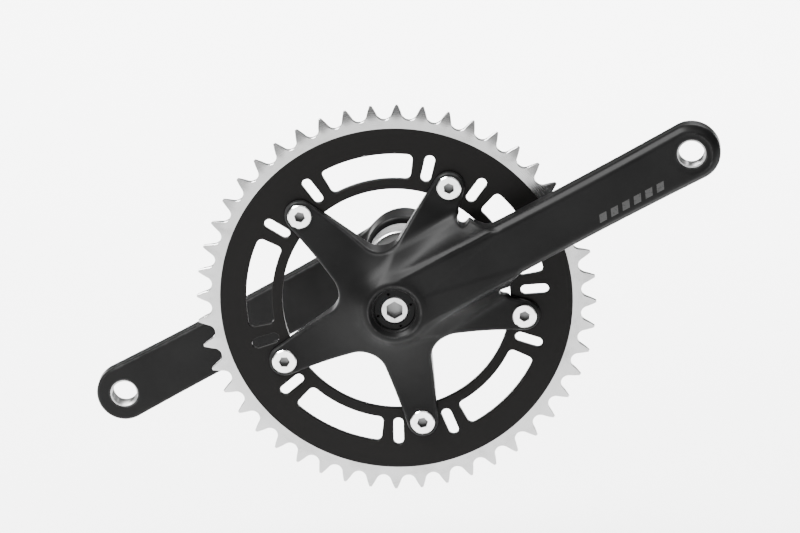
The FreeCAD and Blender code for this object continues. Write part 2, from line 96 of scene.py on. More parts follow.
# ---- hub ----
hub_outer = 66.0
hub_radius = 19.5
shoulder_place = 57.0            # the hub narrows outboard of here
shoulder_direction = (0.870, 0.493)
shoulder_blend = 2.0
hub_face_round = 1.2
hub_back_round = 1.5

# ---- crank arm ----
arm_waist = 13.6
waist_place = 100.0
root_swell = 1.9
eye_swell = 0.9
front_root = 66.4
front_slope = (arm_outermost - front_root) / (arm_length + arm_waist + eye_swell)
back_root = 51.5
back_slope = 0.05
bevel = 2.9
bevel_softness = 0.9
back_round = 1.4
arm_melt = 3.0                   # how softly the blade and the hub run together
body_melt = 5.0                  # how softly the webs and the spider run into them

# ---- bores of an arm ----
taper_half, taper_place = 6.4, 55.0
taper_slope = math.tan(math.radians(2.0))
taper_corner = 8.6
recess_relief, recess_lip = 0.62, 0.9
eye_relief, eye_lip, eye_back_lip = 0.1, 0.5, 0.2
lip_slope, lip_scale = 0.9, 0.74
spot_radius = 9.9
spot_depth = 0.3
spot_round = 0.25

# ---- spider ----
bolt_count = 5
bolt_circle = 65.0
bolt_reach = 56.0
tab_radius = 7.8
arm_root_width = 15.7
tab_round = 1.5
tab_back = ring_outboard
tab_front = ring_outboard + 3.4
spider_back = 42.0
spider_back_round = 0.8
spider_step = 57.3
step_round = 0.3
spider_top = 65.4
top_radius = 15.5
foot_radius = 56.0
fall_power = 1.75
crotch_round = 13.0

# ---- plain mark of slanted bars near the drive arm's eye ----
mark_along, mark_across = (116.9, 154.0), (-9.2, -5.2)
mark_slant, mark_depth = 0.45, -64.0
bar_step, bar_share = 6.5, 0.62

# ---- threads ----
pedal_pitch, extractor_pitch = 1.27, 1.0
liner_wall = 0.2

# ---- webs between the arm and the spider ----
web_corners = [(0.0, 0.0), (61.0, 12.5), (53.5, 21.5), (47.0, 23.8), (14.0, 23.0), (2.0, 13.0)]
web_crest, crest_rise = 63.9, 0.035
web_foot, foot_fall = 56.5, 0.185
web_start, web_width = 12.8, 10.7        # across the arm, from its edge to the foot
web_crest_blend = 1.2
notch_radius, notch_distance, notch_angle = 2.6, 55.0, math.radians(22.8)
notch_length = 9.0
notch_round = 0.6

# ---- chainring ----
tooth_count = 48
chain_pitch = 12.7
pitch_radius = chain_pitch / (2.0 * math.sin(math.pi / tooth_count))
roller_seat = 3.9
seat_angle = math.radians(64.0)
tooth_height = 3.4
ring_bore = 57.5
plain_radius = 89.0
machined_step = 0.12
window_inner, window_outer = 62.7, 75.7
window_half_angle = math.radians(18.3)
window_corner = 2.6
slot_inner, slot_outer, slot_width = 62.7, 77.0, 5.2
slot_angle = math.radians(11.0)
sleeve_hole = 5.05


# ---------------------------------------------------------------- shapes as distances
def join_round(a, b, radius):
    """Union of two shapes with a hollow fillet between them."""
    near = np.hypot(np.maximum(radius - a, 0.0), np.maximum(radius - b, 0.0))
    return np.maximum(radius, np.minimum(a, b)) - near


def keep_round(a, b, radius):
    """Overlap of two shapes with its edge rounded."""
    far = np.hypot(np.maximum(radius + a, 0.0), np.maximum(radius + b, 0.0))
    return np.minimum(-radius, np.maximum(a, b)) + far


def melt(a, b, width):
    """Union of two shapes, blended over a width."""
    mix = np.clip(0.5 + 0.5 * (b - a) / width, 0.0, 1.0)
    return b + (a - b) * mix - width * mix * (1.0 - mix)


def overlap(a, b, width):
    """Overlap of two shapes, its edge softened over a width."""
    return -melt(-a, -b, width)


def turned_by(u, v, angle):
    """Coordinates measured from a direction at an angle to the arm."""
    return u * math.cos(angle) + v * math.sin(angle), v * math.cos(angle) - u * math.sin(angle)


def front_of_arm(u):
    return front_root + front_slope * u


def blade(u, v, s):
    """The long arm with a bevel round its outboard face."""
    along = np.clip(u, 0.0, arm_length)
    to_root = np.clip(1.0 - along / waist_place, 0.0, 1.0)
    to_eye = np.clip((along - waist_place) / (arm_length - waist_place), 0.0, 1.0)
    half = arm_waist + root_swell * to_root ** 2 + eye_swell * to_eye ** 2
    outline = np.hypot(u - along, v) - half
    front = s - front_of_arm(u)
    slant = (outline + front + bevel) * math.sqrt(0.5)
    shape = overlap(overlap(outline, slant, bevel_softness), front, bevel_softness)
    return keep_round(shape, back_root + back_slope * u - s, back_round)


def hub(u, v, s):
    """Round hub, narrowing towards its outboard face."""
    radius = np.hypot(u, v)
    wall = radius - hub_radius
    across, up = shoulder_direction
    shoulder = across * (radius - hub_radius) + up * (s - shoulder_place)
    shape = overlap(overlap(wall, shoulder, shoulder_blend), s - hub_outer, hub_face_round)
    return keep_round(shape, hub_inner - s, hub_back_round)


def spider_arm_plan(u, v):
    """Outline of a spider arm that lies along +u and narrows to its tab."""
    lean = (arm_root_width - tab_radius) / bolt_circle
    upright = math.sqrt(1.0 - lean * lean)
    across = np.abs(v)
    along = upright * u - lean * across
    flank = upright * across + lean * u - arm_root_width
    root = np.hypot(u, v) - arm_root_width
    tab = np.hypot(u - bolt_circle, v) - tab_radius
    return np.where(along < 0.0, root, np.where(along > upright * bolt_circle, tab, flank))


def spider(u, v, s):
    """Five arms whose front falls from the hub to the tabs."""
    plan = None
    for index in range(bolt_count):
        angle = math.pi * (2 * index + 1) / bolt_count
        arm = spider_arm_plan(*turned_by(u, v, angle))
        plan = arm if plan is None else join_round(plan, arm, crotch_round)
    radius = np.hypot(u, v)
    reach = np.clip((foot_radius - radius) / (foot_radius - top_radius), 0.0, 1.3)
    fall = spider_top - tab_front
    slope = fall * fall_power * reach ** (fall_power - 1.0) / (foot_radius - top_radius)
    front = (s - tab_front - fall * reach ** fall_power) / np.sqrt(1.0 + slope * slope)
    shape = keep_round(plan, front, tab_round)
    shape = keep_round(shape, spider_back - s, spider_back_round)
    seat = np.maximum(spider_step - radius, s - tab_back)
    return keep_round(shape, -seat, step_round)


def web(u, v, s):
    """Slopes from both edges of the arm down to the spider arms beside it."""
    side = np.abs(v)
    plan = None
    for (u0, v0), (u1, v1) in zip(web_corners, web_corners[1:] + web_corners[:1]):
        length = math.hypot(u1 - u0, v1 - v0)
        edge = ((v1 - v0) * (u - u0) - (u1 - u0) * (side - v0)) / length
        plan = edge if plan is None else np.maximum(plan, edge)
    crest = web_crest + crest_rise * np.clip(u, 0.0, 61.0)
    foot = web_foot - foot_fall * (np.clip(u, 8.0, 55.0) - 14.0)
    down = np.clip((side - web_start) / web_width, 0.0, 1.4)
    slope = (crest - foot) / web_width * (down > 0.0)
    top = (s - crest - (foot - crest) * down) / np.sqrt(1.0 + slope * slope)
    shape = overlap(plan, top, web_crest_blend)
    shape = np.maximum(shape, tab_back + 0.6 - s)
    under = np.maximum(spider_step - np.hypot(u, v), s - 50.0)
    return keep_round(shape, -under, spider_back_round)


def bored(shape, u, v, s):
    """Takes the taper, the extractor recess and the pedal eye out of an arm."""
    radius = np.hypot(u, v)
    half = taper_half + (taper_place - s) * taper_slope
    taper = np.maximum(np.maximum(np.abs(u), np.abs(v)) - half, radius - taper_corner)
    taper = np.maximum(taper, s - recess_floor - 0.5)
    recess = np.maximum(radius - recess_minor - recess_relief, recess_floor - s)
    mouth = (radius - recess_minor - recess_lip - (s - front_root) * lip_slope) * lip_scale
    shape = np.maximum(shape, -np.minimum(taper, np.minimum(recess, mouth)))
    radius = np.hypot(u - arm_length, v)
    face = front_of_arm(arm_length)
    hole = radius - eye_major - eye_relief
    mouth = (radius - eye_major - eye_lip - (s - face) * lip_slope) * lip_scale
    back_mouth = (radius - eye_major - eye_back_lip + (s - back_root - back_slope * u)) * 0.7
    spot = np.maximum(radius - spot_radius, face - spot_depth - s)
    shape = keep_round(shape, -spot, spot_round)
    return np.maximum(shape, -np.minimum(hole, np.minimum(mouth, back_mouth)))


def drive_arm(u, v, s):
    """Drive-side arm, hub, webs and spider in one forging."""
    core = melt(blade(u, v, s), hub(u, v, s), arm_melt)
    arms = join_round(spider(u, v, s), hub(u, v, s), arm_melt)
    body = melt(melt(core, web(u, v, s), body_melt), arms, body_melt)
    for hand in (1, -1):
        along, across = turned_by(u, v, hand * notch_angle)
        beside = np.clip(along, notch_distance, notch_distance + notch_length)
        body = keep_round(body, notch_radius - np.hypot(along - beside, across), notch_round)
    for index in range(bolt_count):
        angle = math.pi * (2 * index + 1) / bolt_count
        hole = np.hypot(u - bolt_circle * math.cos(angle), v - bolt_circle * math.sin(angle))
        body = np.maximum(body, -np.maximum(hole - sleeve_hole, s - bolt_reach))
    seat = np.maximum(spider_step - np.hypot(u, v), s - tab_back)
    return np.maximum(bored(body, u, v, s), -seat)


def left_arm(u, v, s):
    """Left arm: blade and hub only."""
    return bored(melt(blade(u, v, s), hub(u, v, s), body_melt), u, v, s)


# ---------------------------------------------------------------- meshes
def surface(shape, low, high, step):
    """Quad mesh on the zero surface of a distance function, as points and faces."""
    low = np.array(low) - grid_shift
    axes = [np.arange(a, b + step, step, dtype=np.float32) for a, b in zip(low, high)]
    field = shape(axes[0][:, None, None], axes[1][None, :, None], axes[2][None, None, :])
    inside = field < 0.0
    corners = [(i, j, k) for i in (0, 1) for j in (0, 1) for k in (0, 1)]
    count = np.zeros([n - 1 for n in field.shape], np.int8)
    for i, j, k in corners:
        count += inside[i:i + count.shape[0], j:j + count.shape[1], k:k + count.shape[2]]
    active = (count > 0) & (count < 8)
    cells = np.argwhere(active)
    number = np.full(active.shape, -1, np.int64)
    number[active] = np.arange(len(cells))
    total, hits = np.zeros((len(cells), 3)), np.zeros(len(cells))
    faces = []
    for axis in range(3):
        unit = np.eye(3, dtype=int)[axis]
        for corner in corners:
            if corner[axis]:
                continue
            start = cells + corner
            a, b = field[tuple(start.T)], field[tuple((start + unit).T)]
            cut = (a < 0.0) != (b < 0.0)
            share = a[cut] / (a[cut] - b[cut])
            total[cut] += np.array(corner) + share[:, None] * unit
            hits[cut] += 1
        one, two = np.eye(3, dtype=int)[(axis + 1) % 3], np.eye(3, dtype=int)[(axis + 2) % 3]
        near = np.take(inside, range(inside.shape[axis] - 1), axis)
        far = np.take(inside, range(1, inside.shape[axis]), axis)
        edges = np.argwhere(near != far)
        edges = edges[(edges[:, (axis + 1) % 3] > 0) & (edges[:, (axis + 2) % 3] > 0)]
        edges = edges[(edges[:, (axis + 1) % 3] < count.shape[(axis + 1) % 3])
                      & (edges[:, (axis + 2) % 3] < count.shape[(axis + 2) % 3])]
        ring = [number[tuple((edges - shift).T)] for shift in (one + two, two, one * 0, one)]
        quads = np.stack(ring, axis=1)
        flip = ~inside[tuple(edges.T)]
        quads[flip] = quads[flip][:, ::-1]
        faces.append(quads)
    faces = np.concatenate(faces)
    points = low + (cells + total / hits[:, None]) * step
    points = settled(shape, points, step)
    for _ in range(relax_rounds):
        points = settled(shape, evened(points, faces), step)
    return points, faces


def settled(shape, points, step):
    """Points moved on to the zero surface of a distance function."""
    nudge = 0.02
    for _ in range(3):
        value = shape(*points.T)
        slope = np.stack([(shape(*(points + nudge * e).T) - shape(*(points - nudge * e).T))
                          / (2 * nudge) for e in np.eye(3)], axis=1)
        size = np.maximum((slope ** 2).sum(axis=1), 0.25)
        points = points - np.clip(value / size, -0.4 * step, 0.4 * step)[:, None] * slope
    return points


def evened(points, faces):
    """Points moved half way to the middle of their neighbours."""
    start, end = faces.ravel(), np.roll(faces, -1, axis=1).ravel()
    both, other = np.concatenate([start, end]), np.concatenate([end, start])
    share = np.bincount(both, minlength=len(points))
    middle = np.stack([np.bincount(both, points[other, axis], len(points)) / share
                       for axis in range(3)], axis=1)
    return 0.5 * (points + middle)


def placed(points, side, turn):
    """Arm coordinates in millimetres to the frame's coordinates in metres."""
    u, v, s = np.asarray(points, float).T
    c, n = math.cos(turn), math.sin(turn)
    return np.stack([u * c - v * n, side * s, u * n + v * c], axis=1) * MM


def piece(name, points, faces, slot_name, *nodes, sharp=None):
    """Mesh object that rides on the crank and stands for the named CAD nodes."""
    mesh = bpy.data.meshes.new(name)
    mesh.from_pydata([tuple(p) for p in points], [], [tuple(int(i) for i in f) for f in faces])
    mesh.validate()
    mesh.update()
    mesh.shade_smooth()
    if sharp is not None:
        mesh.set_sharp_from_angle(angle=math.radians(sharp))
    made = bpy.data.objects.new(name, mesh)
    bpy.context.scene.collection.objects.link(made)
    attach(made, "crank")
    if nodes:
        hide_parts(*nodes)
    return made


def winding(faces, side):
    """Faces with their outsides out on this side of the part."""
    faces = np.asarray(faces)
    return faces if side == DRIVE else faces[:, ::-1]


grid_step = 0.65
grid_shift = 0.1        # keeps the sharp lips from crossing one cell twice
relax_rounds = 3
tab_end = bolt_circle + tab_radius + 1.5
eye_end = arm_length + arm_waist + eye_swell + 1.5
points, faces = surface(drive_arm, (-tab_end, -tab_end, hub_inner - 1.5),
                        (eye_end, tab_end, arm_outermost + 1.5), grid_step)
drive = piece("crank_arm_drive_forged", placed(points, DRIVE, arm_turn),
              winding(faces, DRIVE), "black_anodised", "crank_arm_drive", "spider")
points, faces = surface(left_arm, (-hub_radius - 2.0, -hub_radius - 2.0, hub_inner - 1.5),
                        (eye_end, hub_radius + 2.0, arm_outermost + 1.5), grid_step)
left = piece("crank_arm_left_forged", placed(points, LEFT, arm_turn + math.pi),
             winding(faces, LEFT), "black_anodised", "crank_arm_left")


# ---------------------------------------------------------------- chainring
def circle(radius, count):
    angle = np.linspace(0.0, 2.0 * math.pi, count, endpoint=False)
    return np.stack([radius * np.cos(angle), radius * np.sin(angle)], axis=1)


def arc(centre, radius, start, end, count):
    angle = np.linspace(start, end, count)
    return np.asarray(centre) + radius * np.stack([np.cos(angle), np.sin(angle)], axis=1)


def rotated(points, angle):
    c, n = math.cos(angle), math.sin(angle)
    return points @ np.array([[c, n], [-n, c]])


def window():
    """Curved window centred on +u with rounded corners."""
    corner, half = window_corner, window_half_angle
    outer_turn = half - math.asin(corner / (window_outer - corner))
    inner_turn = half - math.asin(corner / (window_inner + corner))
    quarter = math.pi / 2
    rows = []
    for sign in (1, -1):
        outer = rotated(np.array([[window_outer - corner, 0.0]]), sign * outer_turn)[0]
        inner = rotated(np.array([[window_inner + corner, 0.0]]), sign * inner_turn)[0]
        corner_out = arc(outer, corner, sign * outer_turn, sign * (half + quarter), 7)
        corner_in = arc(inner, corner, sign * (half + quarter),
                        sign * (inner_turn + 2 * quarter), 7)
        rows.append(np.concatenate([corner_out, corner_in]))
    outer_arc = arc((0, 0), window_outer, -outer_turn, outer_turn, 22)[1:-1]
    inner_arc = arc((0, 0), window_inner, inner_turn, -inner_turn, 20)[1:-1]
    return np.concatenate([outer_arc, rows[0], inner_arc, rows[1][::-1]])


def slot():
    """Radial slot on +u with round ends."""
    half = 0.5 * slot_width
    out = arc((slot_outer - half, 0.0), half, -math.pi / 2, math.pi / 2, 13)
    back = arc((slot_inner + half, 0.0), half, math.pi / 2, 1.5 * math.pi, 13)
    return np.concatenate([out, back])


def normals_of(loop):
    """Unit normals that point out of a counter-clockwise loop."""
    ahead, behind = np.roll(loop, -1, axis=0), np.roll(loop, 1, axis=0)
    along = ahead - behind
    out = np.stack([along[:, 1], -along[:, 0]], axis=1)
    return out / np.linalg.norm(out, axis=1)[:, None]


def within(points, loop):
    """Which points lie inside a closed loop."""
    x, y = points[:, :1], points[:, 1:]
    (x0, y0), (x1, y1) = loop.T, np.roll(loop, -1, axis=0).T
    rise = np.where(y1 == y0, 1.0, y1 - y0)
    crossed = ((y0 > y) != (y1 > y)) & (x < x0 + (y - y0) * (x1 - x0) / rise)
    return crossed.sum(axis=1) % 2 == 1


def filled(loops):
    """Triangles between the first loop and the others, as numbers into the joined loops."""
    corners = np.concatenate(loops)
    edges, first = [], 0
    for loop in loops:
        edges += [(first + i, first + (i + 1) % len(loop)) for i in range(len(loop))]
        first += len(loop)
    _, _, faces, sources, _, _ = delaunay_2d_cdt([Vector(c) for c in corners], edges, [], 0, 1e-6)
    triangles = np.array([[sources[corner][0] for corner in face] for face in faces])
    centres = corners[triangles].mean(axis=1)
    keep = within(centres, loops[0])
    for loop in loops[1:]:
        keep &= ~within(centres, loop)
    return triangles[keep]


def ring_plate(edge):
    """Flat plate between the bore and the machined rim, all its edges chamfered."""
    step = 2.0 * math.pi / bolt_count
    loops = [circle(plain_radius, 240), circle(ring_bore, 180)]
    for index in range(bolt_count):
        loops.append(rotated(window(), index * step))
        bolt = (index + 0.5) * step
        place = bolt_circle * np.array([math.cos(bolt), math.sin(bolt)])
        loops.append(circle(sleeve_hole, 32) + place)
        for hand in (-1, 1):
            loops.append(rotated(slot(), bolt + hand * slot_angle))
    half = 0.5 * (ring_outboard - ring_inboard)
    points, faces, insets, top = [], [], [], []
    for number, loop in enumerate(loops):
        inward = -1.0 if number == 0 else 1.0
        inset = loop + inward * edge * normals_of(loop)
        insets.append(inset)
        first, n = len(points), len(loop)
        rows = ((inset, half), (loop, half - edge), (loop, edge - half), (inset, -half))
        for outline, height in rows:
            points += [(u, v, ring_middle + height) for u, v in outline]
        top += [(first + i, first + 3 * n + i) for i in range(n)]
        for row in range(3):
            for i in range(n):
                a, b = first + row * n + i, first + row * n + (i + 1) % n
                quad = (a, a + n, b + n, b)
                faces.append(quad if number == 0 else quad[::-1])
    for a, b, c in filled(insets):
        faces.append((top[a][0], top[b][0], top[c][0]))
        faces.append((top[c][1], top[b][1], top[a][1]))
    return points, faces


def tooth_outline():
    """One tooth space and tip, repeated all round, as a counter-clockwise loop."""
    seat_along, seat_up = roller_seat * math.sin(seat_angle), -roller_seat * math.cos(seat_angle)
    tip_along = seat_along + (tooth_height - seat_up) / math.tan(seat_angle)
    share = np.linspace(0.0, 1.0, 6)[1:-1]
    swell = 0.12 * 4.0 * share * (1.0 - share)
    flank = np.stack([tip_along + (seat_along - tip_along) * share - swell,
                      tooth_height + (seat_up - tooth_height) * share], axis=1)
    seat = np.linspace(-seat_angle, seat_angle, 13)
    bowl = np.stack([roller_seat * np.sin(seat), -roller_seat * np.cos(seat)], axis=1)
    space = np.concatenate([[(-tip_along, tooth_height)], flank * (-1, 1), bowl,
                            flank[::-1], [(tip_along, tooth_height)]])
    loop = []
    for index in range(tooth_count):
        centre = (index + 0.5) * 2.0 * math.pi / tooth_count
        loop.append(rotated(np.stack([pitch_radius + space[:, 1], space[:, 0]], axis=1), centre))
    return np.concatenate(loop)


def rim_half_thickness(radius):
    """Half thickness of the rim, thinning over the teeth."""
    tip = pitch_radius + tooth_height
    half = 0.5 * (ring_outboard - ring_inboard) - machined_step
    return half - np.clip((radius - tip + 5.6) / 6.6, 0.0, 1.0) * 0.88


def toothed_rim(edge):
    """Bare machined rim with the teeth."""
    outline = tooth_outline()
    angle = np.arctan2(outline[:, 1], outline[:, 0])
    direction = np.stack([np.cos(angle), np.sin(angle)], axis=1)
    inset = outline - edge * normals_of(outline)
    inner = [(plain_radius - 0.5) * direction, (plain_radius + 1.8) * direction]
    start = (plain_radius + 3.6) * direction
    stations = inner + [start + share * (inset - start) for share in (0.0, 0.4, 0.75, 1.0)]
    front = []
    for line in stations:
        front.append((line, rim_half_thickness(np.hypot(line[:, 0], line[:, 1]))))
    wall = rim_half_thickness(np.hypot(outline[:, 0], outline[:, 1])) - edge
    back = [(line, -half) for line, half in front[::-1]]
    rows = front + [(outline, wall), (outline, -wall)] + back
    points = np.concatenate([np.column_stack([line, ring_middle + half]) for line, half in rows])
    n, m = len(outline), len(rows)
    faces = []
    for row in range(m):
        below = (row + 1) % m
        for i in range(n):
            j = (i + 1) % n
            faces.append((row * n + i, below * n + i, below * n + j, row * n + j))
    return points, faces


points, faces = ring_plate(0.28)
plate = piece("chainring_plate", placed(points, DRIVE, arm_turn), faces, "ring_black_and_bare",
              "chainring", sharp=25)
points, faces = toothed_rim(0.2)
rim = piece("chainring_rim", placed(points, DRIVE, arm_turn), faces, "ring_black_and_bare",
            "chainring", sharp=25)


# ---------------------------------------------------------------- threads
def thread_liner(minor, major, pitch, s0, s1, centre, hand):
    """Ring whose bore carries a helical thread with flat crests."""
    around, rows = 72, max(2, int(round((s1 - s0) / pitch * 7)))
    angle = np.linspace(0.0, 2.0 * math.pi, around, endpoint=False)
    cosines, sines = np.cos(angle), np.sin(angle)
    rings = []
    for s in np.linspace(s0, s1, rows + 1):
        phase = (s / pitch + hand * angle / (2.0 * math.pi)) % 1.0
        depth = np.clip(1.25 * (1.0 - np.abs(2.0 * phase - 1.0)) - 0.25, 0.0, 1.0)
        rings.append((minor + (major - minor) * depth, s))
    rings += [(major + liner_wall, s1), (major + liner_wall, s0)]
    points = np.concatenate([np.column_stack([centre + radius * cosines, radius * sines,
                                              np.full(around, s)]) for radius, s in rings])
    faces = []
    for row in range(len(rings)):
        here, below = row * around, (row + 1) % len(rings) * around
        for i in range(around):
            j = (i + 1) % around
            faces.append((here + i, here + j, below + j, below + i))
    return points, faces


pedal_threads, recess_threads = [], []
sides = ((DRIVE, arm_turn, "drive", 1), (LEFT, arm_turn + math.pi, "left", -1))
for side, turn, name, hand in sides:
    eye_back = back_root + back_slope * arm_length
    points, faces = thread_liner(eye_minor, eye_major, pedal_pitch, eye_back + 0.7,
                                 front_of_arm(arm_length) - 1.0, arm_length, hand)
    thread = piece("pedal_thread_" + name, placed(points, side, turn), winding(faces, side),
                   "black_anodised", sharp=30)
    pedal_threads.append(thread)
    points, faces = thread_liner(recess_minor, recess_minor + 0.54, extractor_pitch,
                                 recess_floor + 0.3, front_root - 0.5, 0.0, 1)
    thread = piece("extractor_thread_" + name, placed(points, side, turn), winding(faces, side),
                   "black_anodised", sharp=30)
    recess_threads.append(thread)


# ---------------------------------------------------------------- materials
class Finish:
    """A material's node tree, with short ways to add to it."""

    def __init__(self, name):
        self.material = bpy.data.materials.new(name)
        self.material.use_nodes = True
        self.tree = self.material.node_tree
        self.shader = self.tree.nodes["Principled BSDF"]
        self.place = self.node("TexCoord").outputs["Object"]

    def node(self, kind, **settings):
        made = self.tree.nodes.new("ShaderNode" + kind)
        for key, value in settings.items():
            setattr(made, key, value)
        return made

    def feed(self, socket, value):
        if isinstance(value, bpy.types.NodeSocket):
            self.tree.links.new(value, socket)
        else:
            socket.default_value = value

    def math(self, operation, a, b=0.0, clamp=False):
        made = self.node("Math", operation=operation, use_clamp=clamp)
        self.feed(made.inputs[0], a)
        self.feed(made.inputs[1], b)
        return made.outputs[0]

    def noise(self, scale, detail=3.0, stretch=None):
        """Noise of a given number of cells per metre, optionally stretched."""
        made = self.node("TexNoise")
        made.inputs["Scale"].default_value = scale
        made.inputs["Detail"].default_value = detail
        where = self.place
        if stretch:
            mapping = self.node("Mapping")
            mapping.inputs["Scale"].default_value = stretch
            self.feed(mapping.inputs["Vector"], where)
            where = mapping.outputs["Vector"]
        self.feed(made.inputs["Vector"], where)
        return made.outputs["Fac"]

    def radius(self):
        """Distance from the crank's axle, in metres."""
        parts = self.node("SeparateXYZ")
        self.feed(parts.inputs[0], self.place)
        x, z = parts.outputs["X"], parts.outputs["Z"]
        return self.math("SQRT", self.math("ADD", self.math("MULTIPLY", x, x),
                                           self.math("MULTIPLY", z, z)))

    def rings(self, distance, scale):
        """Fine turned lines that follow a distance."""
        made = self.node("TexNoise", noise_dimensions="1D")
        made.inputs["Scale"].default_value = scale
        made.inputs["Detail"].default_value = 2.0
        self.feed(made.inputs["W"], distance)
        return made.outputs["Fac"]

    def range(self, value, low, high, to_low, to_high):
        """A value carried from one range of numbers to another."""
        made = self.node("MapRange")
        self.feed(made.inputs["Value"], value)
        limits = {"From Min": low, "From Max": high, "To Min": to_low, "To Max": to_high}
        for key, number in limits.items():
            made.inputs[key].default_value = number
        return made.outputs["Result"]

    def blend(self, share, a, b):
        made = self.node("Mix", data_type="RGBA")
        self.feed(made.inputs["Factor"], share)
        self.feed(made.inputs[6], a)
        self.feed(made.inputs[7], b)
        return made.outputs[2]

    def bump(self, height, distance, strength=1.0, after=None):
        made = self.node("Bump")
        made.inputs["Strength"].default_value = strength
        made.inputs["Distance"].default_value = distance
        self.feed(made.inputs["Height"], height)
        if after is not None:
            self.feed(made.inputs["Normal"], after)
        return made.outputs["Normal"]

    def edge_wear_and_highlight(self, low, high):
        """Share of the surface near outward edges."""
        return self.range(self.node("NewGeometry").outputs["Pointiness"], low, high, 0.0, 1.0)

    def set(self, **values):
        for key, value in values.items():
            self.feed(self.shader.inputs[key.replace("_", " ")], value)
        return self.material


def grey(value, tint=(1.0, 1.0, 1.0)):
    return (value * tint[0], value * tint[1], value * tint[2], 1.0)


black_gloss = 0.07


def anodised_arm(name, marked=False, rubbed_and_edge_lit=True):
    """Satin black anodising over a fine-blasted forging, its edges lightened as rubbed wear and
    painted highlight.
    """
    finish = Finish(name)
    cloud = finish.noise(38.0, 4.0)
    grain = finish.noise(2600.0, 2.0)
    colour = finish.blend(finish.range(cloud, 0.35, 0.65, 0.0, 1.0), grey(0.004), grey(0.006))
    if rubbed_and_edge_lit:
        # Lighter edges: partly rubbed wear, partly a painted highlight along the lit bevels.
        edge = finish.edge_wear_and_highlight(0.515, 0.58)
        rub_and_highlight = finish.math("MULTIPLY", edge, finish.range(finish.noise(240.0), 0.4, 0.62, 0.15, 0.6))
        colour = finish.blend(rub_and_highlight, colour, grey(0.09))
    roughness = finish.range(finish.math("ADD", cloud, grain), 0.6, 1.4, 0.34, 0.44)
    if marked:
        parts = finish.node("SeparateXYZ")
        finish.feed(parts.inputs[0], finish.place)
        x, y, z = parts.outputs["X"], parts.outputs["Y"], parts.outputs["Z"]
        c, n = math.cos(arm_turn) / MM, math.sin(arm_turn) / MM
        u = finish.math("ADD", finish.math("MULTIPLY", x, c), finish.math("MULTIPLY", z, n))
        v = finish.math("SUBTRACT", finish.math("MULTIPLY", z, c), finish.math("MULTIPLY", x, n))

        def band(value, low, high):
            over = finish.math("GREATER_THAN", value, low)
            return finish.math("MULTIPLY", over, finish.math("LESS_THAN", value, high))

        slanted = finish.math("SUBTRACT", u, finish.math("MULTIPLY", v, mark_slant))
        share = finish.math("FRACT", finish.math("DIVIDE", slanted, bar_step))
        steps = finish.math("LESS_THAN", share, bar_share)
        bars = finish.math("MULTIPLY", band(slanted, *mark_along), band(v, *mark_across))
        mark = finish.math("MULTIPLY", bars, steps)
        outboard = finish.math("LESS_THAN", y, mark_depth * MM)
        mark = finish.math("MULTIPLY", finish.math("MULTIPLY", mark, outboard),
                           finish.range(finish.noise(900.0), 0.3, 0.45, 0.6, 1.0))
        colour = finish.blend(mark, colour, grey(0.045))
    normal = finish.bump(grain, 0.00003, 0.5)
    normal = finish.bump(cloud, 0.0002, 0.15, normal)
    return finish.set(Base_Color=colour, Roughness=roughness, Specular_IOR_Level=black_gloss,
                      Normal=normal)


def anodised_ring(name):
    """Black anodised face over fine turning lines."""
    finish = Finish(name)
    distance = finish.radius()
    lines = finish.rings(distance, 2400.0)
    grain = finish.noise(1800.0, 2.0)
    colour = finish.blend(lines, grey(0.0035, (1.06, 1.0, 0.96)), grey(0.0055, (1.06, 1.0, 0.96)))
    roughness = finish.range(finish.math("ADD", lines, grain), 0.6, 1.4, 0.36, 0.46)
    normal = finish.bump(lines, 0.00002, 0.6)
    return finish.set(Base_Color=colour, Roughness=roughness, Specular_IOR_Level=black_gloss,
                      Normal=normal)


def machined(name, shade, roughness, distance_scale=2600.0, tint=(1.0, 1.0, 1.0), dirt=0.25):
    """Bare metal turned about the axle, with a little grime in random patches."""
    finish = Finish(name)
    parts = finish.node("SeparateXYZ")
    finish.feed(parts.inputs[0], finish.place)
    lines = finish.rings(finish.math("ADD", finish.radius(), parts.outputs["Y"]), distance_scale)
    cloud = finish.noise(120.0, 4.0)
    dirty = finish.range(cloud, 0.52, 0.72, 0.0, dirt)
    colour = finish.blend(dirty, grey(shade, tint), grey(shade * 0.45, (1.0, 0.95, 0.88)))
    rough = finish.range(finish.math("ADD", lines, cloud), 0.5, 1.5,
                         roughness * 0.75, roughness * 1.3)
    normal = finish.bump(lines, 0.00002, 0.5)
    around = finish.node("Tangent", direction_type="RADIAL", axis="Y").outputs[0]
    return finish.set(Base_Color=colour, Metallic=1.0, Roughness=rough, Anisotropic=0.6,
                      Tangent=around, Normal=normal)


